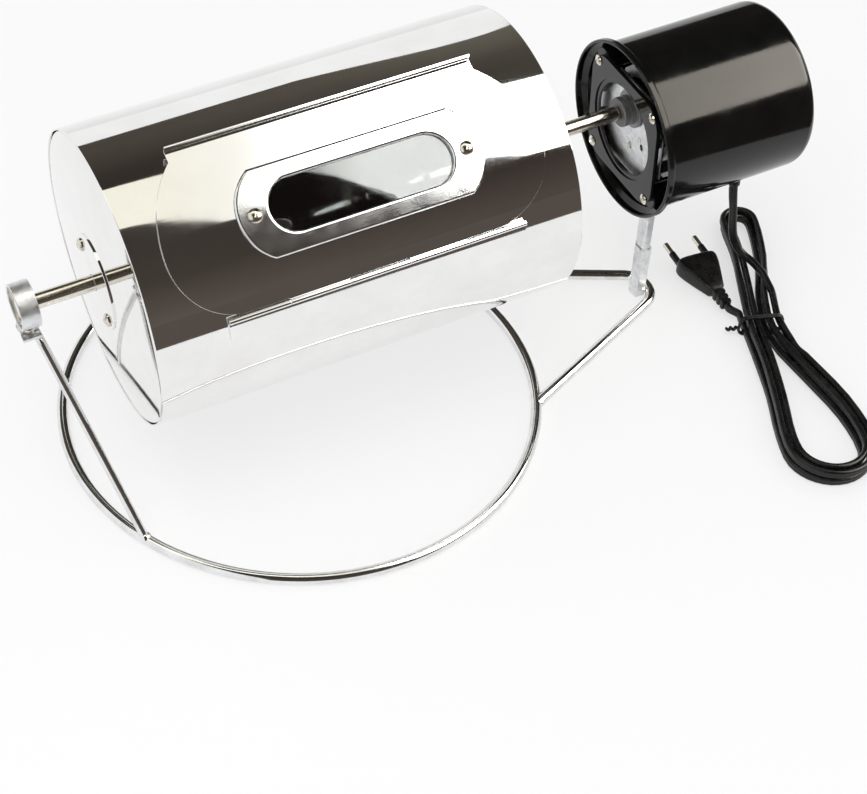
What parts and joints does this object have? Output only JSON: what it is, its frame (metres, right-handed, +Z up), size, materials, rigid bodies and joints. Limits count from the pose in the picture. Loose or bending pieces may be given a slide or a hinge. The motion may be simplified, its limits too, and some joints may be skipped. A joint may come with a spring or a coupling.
{
  "type": "home coffee bean roaster",
  "caption": "Polished drum with a windowed loading door, turned by a geared motor in an open cup, on a wire ring stand with a mains cord",
  "frame": {"origin": "middle of the footprint of stand, drum and motor without the cord, on the surface that the base ring stands on", "axes": "+X along the drum from the bearing towards the motor, rising 2.5 degrees with the drive line, -Y towards the door side, +Z up"},
  "size_m": [0.4567, 0.3074, 0.2152],
  "materials": {
    "mirror_steel": "polished stainless sheet, mirror bright",
    "wire_chrome": "bright plated wire",
    "turned_steel": "turned steel, fine marks round the axis",
    "zinc_sheet": "zinc plated sheet, satin",
    "black_plastic": "glossy black moulding",
    "black_steel": "blackened steel",
    "cage_brass": "pressed brass",
    "laminations": "stacked sheet, edges showing",
    "coil_tape": "taped winding",
    "gear_nylon": "natural moulded nylon",
    "window_glass": "clear curved pane",
    "cord_black": "black flexible moulding, slight sheen",
    "catch_magnet": "dark sintered magnet"
  },
  "bodies": {
    "stand": {"base_ring": "wire_chrome", "base_fork": "wire_chrome", "leg_hairpin": "wire_chrome", "bearing_band": "zinc_sheet", "band_screw": "turned_steel", "bearing_outer_race": "turned_steel", "bearing_cage": "cage_brass", "motor_upright": "zinc_sheet", "upright_screw": "turned_steel", "motor_cover": "black_plastic", "adapter_plate": "black_plastic", "adapter_screw_1": "turned_steel", "adapter_screw_2": "turned_steel", "adapter_screw_3": "turned_steel", "adapter_screw_4": "turned_steel", "gearbox_front_plate": "zinc_sheet", "gearbox_rear_plate": "zinc_sheet", "gearbox_post_1": "black_steel", "gearbox_post_2": "black_steel", "gearbox_post_3": "black_steel", "gearbox_post_4": "black_steel", "output_bush": "zinc_sheet", "motor_stator": "laminations", "motor_coil": "coil_tape", "rotor_bracket": "zinc_sheet", "strain_relief": "cord_black", "cord_lead": "cord_black", "cord_hank": "cord_black", "cord_tail": "cord_black", "cord_tie": "cord_black", "plug_body": "cord_black"},
    "drum": {"drum_shell": "mirror_steel", "left_end_plate": "mirror_steel", "right_end_plate": "mirror_steel", "left_flange": "mirror_steel", "right_flange": "mirror_steel", "left_flange_screw_1": "turned_steel", "left_flange_screw_2": "turned_steel", "right_flange_screw_1": "turned_steel", "right_flange_screw_2": "turned_steel", "left_shaft": "turned_steel", "right_shaft": "turned_steel", "shaft_set_screw": "black_steel", "output_shaft": "turned_steel", "mixing_vane_1": "mirror_steel", "mixing_vane_2": "mirror_steel", "mixing_vane_3": "mirror_steel", "hinge_leaf": "mirror_steel", "hinge_pin": "turned_steel", "door_catch": "catch_magnet", "bearing_inner_race": "turned_steel"},
    "door": {"door_panel": "mirror_steel", "window_frame": "mirror_steel", "window_glass": "window_glass", "window_back_frame": "mirror_steel", "window_screw_1": "turned_steel", "window_screw_2": "turned_steel"},
    "gear_b": {"gear_b": "gear_nylon"},
    "gear_a": {"gear_a": "gear_nylon"},
    "rotor": {"rotor": "laminations"}
  },
  "joints": [
    {"name": "drum_spin", "type": "hinge", "parent": "stand", "child": "drum", "pos_m": [-0.05717, 0, 0.1315], "axis": [0.999, 0, 0.0436], "continuous": true},
    {"name": "door_hinge", "type": "hinge", "parent": "drum", "child": "door", "pos_m": [-0.05805, -0.07427, 0.1518], "axis": [0.999, 0, 0.0436], "range_deg": [0, 180]},
    {"name": "gear_b_spin", "type": "hinge", "parent": "stand", "child": "gear_b", "pos_m": [-0.05654, -0.00965, 0.11704], "axis": [0.999, 0, 0.0436], "continuous": true},
    {"name": "gear_a_spin", "type": "hinge", "parent": "stand", "child": "gear_a", "pos_m": [-0.05607, 0.00006, 0.10641], "axis": [0.999, 0, 0.0436], "continuous": true},
    {"name": "rotor_spin", "type": "hinge", "parent": "stand", "child": "rotor", "pos_m": [-0.0567, 0.00006, 0.1208], "axis": [0.999, 0, 0.0436], "continuous": true}
  ],
  "couplings": [
    {"joint": "gear_b_spin", "follows": "drum_spin", "ratio": -6.25},
    {"joint": "gear_a_spin", "follows": "drum_spin", "ratio": 31.25},
    {"joint": "rotor_spin", "follows": "drum_spin", "ratio": -156.25}
  ]
}
